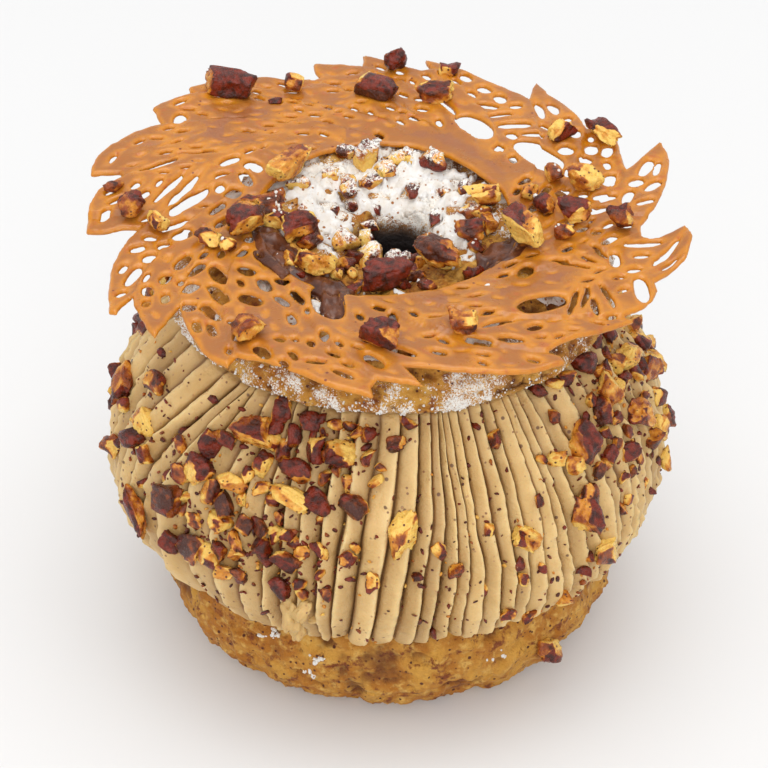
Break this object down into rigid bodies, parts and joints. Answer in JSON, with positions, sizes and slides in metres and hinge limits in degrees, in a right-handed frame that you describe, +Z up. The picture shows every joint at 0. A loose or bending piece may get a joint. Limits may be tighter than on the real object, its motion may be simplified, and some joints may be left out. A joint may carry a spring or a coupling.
{
  "type": "paris brest pastry",
  "caption": "individual ring pastry with a split choux shell, pleated praline cream, a lace caramel tuile on top and toasted nut pieces",
  "frame": {"origin": "on the table under the middle of the pastry", "axes": "+Z up through the ring's hole; -Y is the front, where the cream shows most below the tuile"},
  "size_m": [0.095, 0.094, 0.0818],
  "materials": {
    "choux": "baked golden brown, rough",
    "praline_cream": "soft satin cream",
    "caramel": "glossy translucent caramel",
    "toasted_nut": "toasted, slightly oily"
  },
  "bodies": {
    "root": {"choux_base": "choux", "praline_cream": "praline_cream", "choux_lid": "choux", "lace_tuile": "caramel", "nut_piece_01": "toasted_nut", "nut_piece_02": "toasted_nut", "nut_piece_03": "toasted_nut", "nut_piece_04": "toasted_nut", "nut_piece_05": "toasted_nut", "nut_piece_06": "toasted_nut", "nut_piece_07": "toasted_nut", "nut_piece_08": "toasted_nut", "nut_piece_09": "toasted_nut", "nut_piece_10": "toasted_nut", "nut_piece_11": "toasted_nut", "nut_piece_12": "toasted_nut", "nut_piece_13": "toasted_nut", "nut_piece_14": "toasted_nut", "nut_piece_15": "toasted_nut", "nut_piece_16": "toasted_nut", "nut_piece_17": "toasted_nut", "nut_piece_18": "toasted_nut", "nut_piece_19": "toasted_nut", "nut_piece_20": "toasted_nut", "nut_piece_21": "toasted_nut", "nut_piece_22": "toasted_nut", "nut_piece_23": "toasted_nut", "nut_piece_24": "toasted_nut", "nut_piece_25": "toasted_nut", "nut_piece_26": "toasted_nut", "nut_piece_27": "toasted_nut", "nut_piece_28": "toasted_nut", "nut_piece_29": "toasted_nut", "nut_piece_30": "toasted_nut", "nut_piece_31": "toasted_nut", "nut_piece_32": "toasted_nut", "nut_piece_33": "toasted_nut", "nut_piece_34": "toasted_nut", "nut_piece_35": "toasted_nut", "nut_piece_36": "toasted_nut", "nut_piece_37": "toasted_nut", "nut_piece_38": "toasted_nut", "nut_piece_39": "toasted_nut", "nut_piece_40": "toasted_nut", "nut_piece_41": "toasted_nut", "nut_piece_42": "toasted_nut", "nut_piece_43": "toasted_nut", "nut_piece_44": "toasted_nut"}
  },
  "joints": []
}
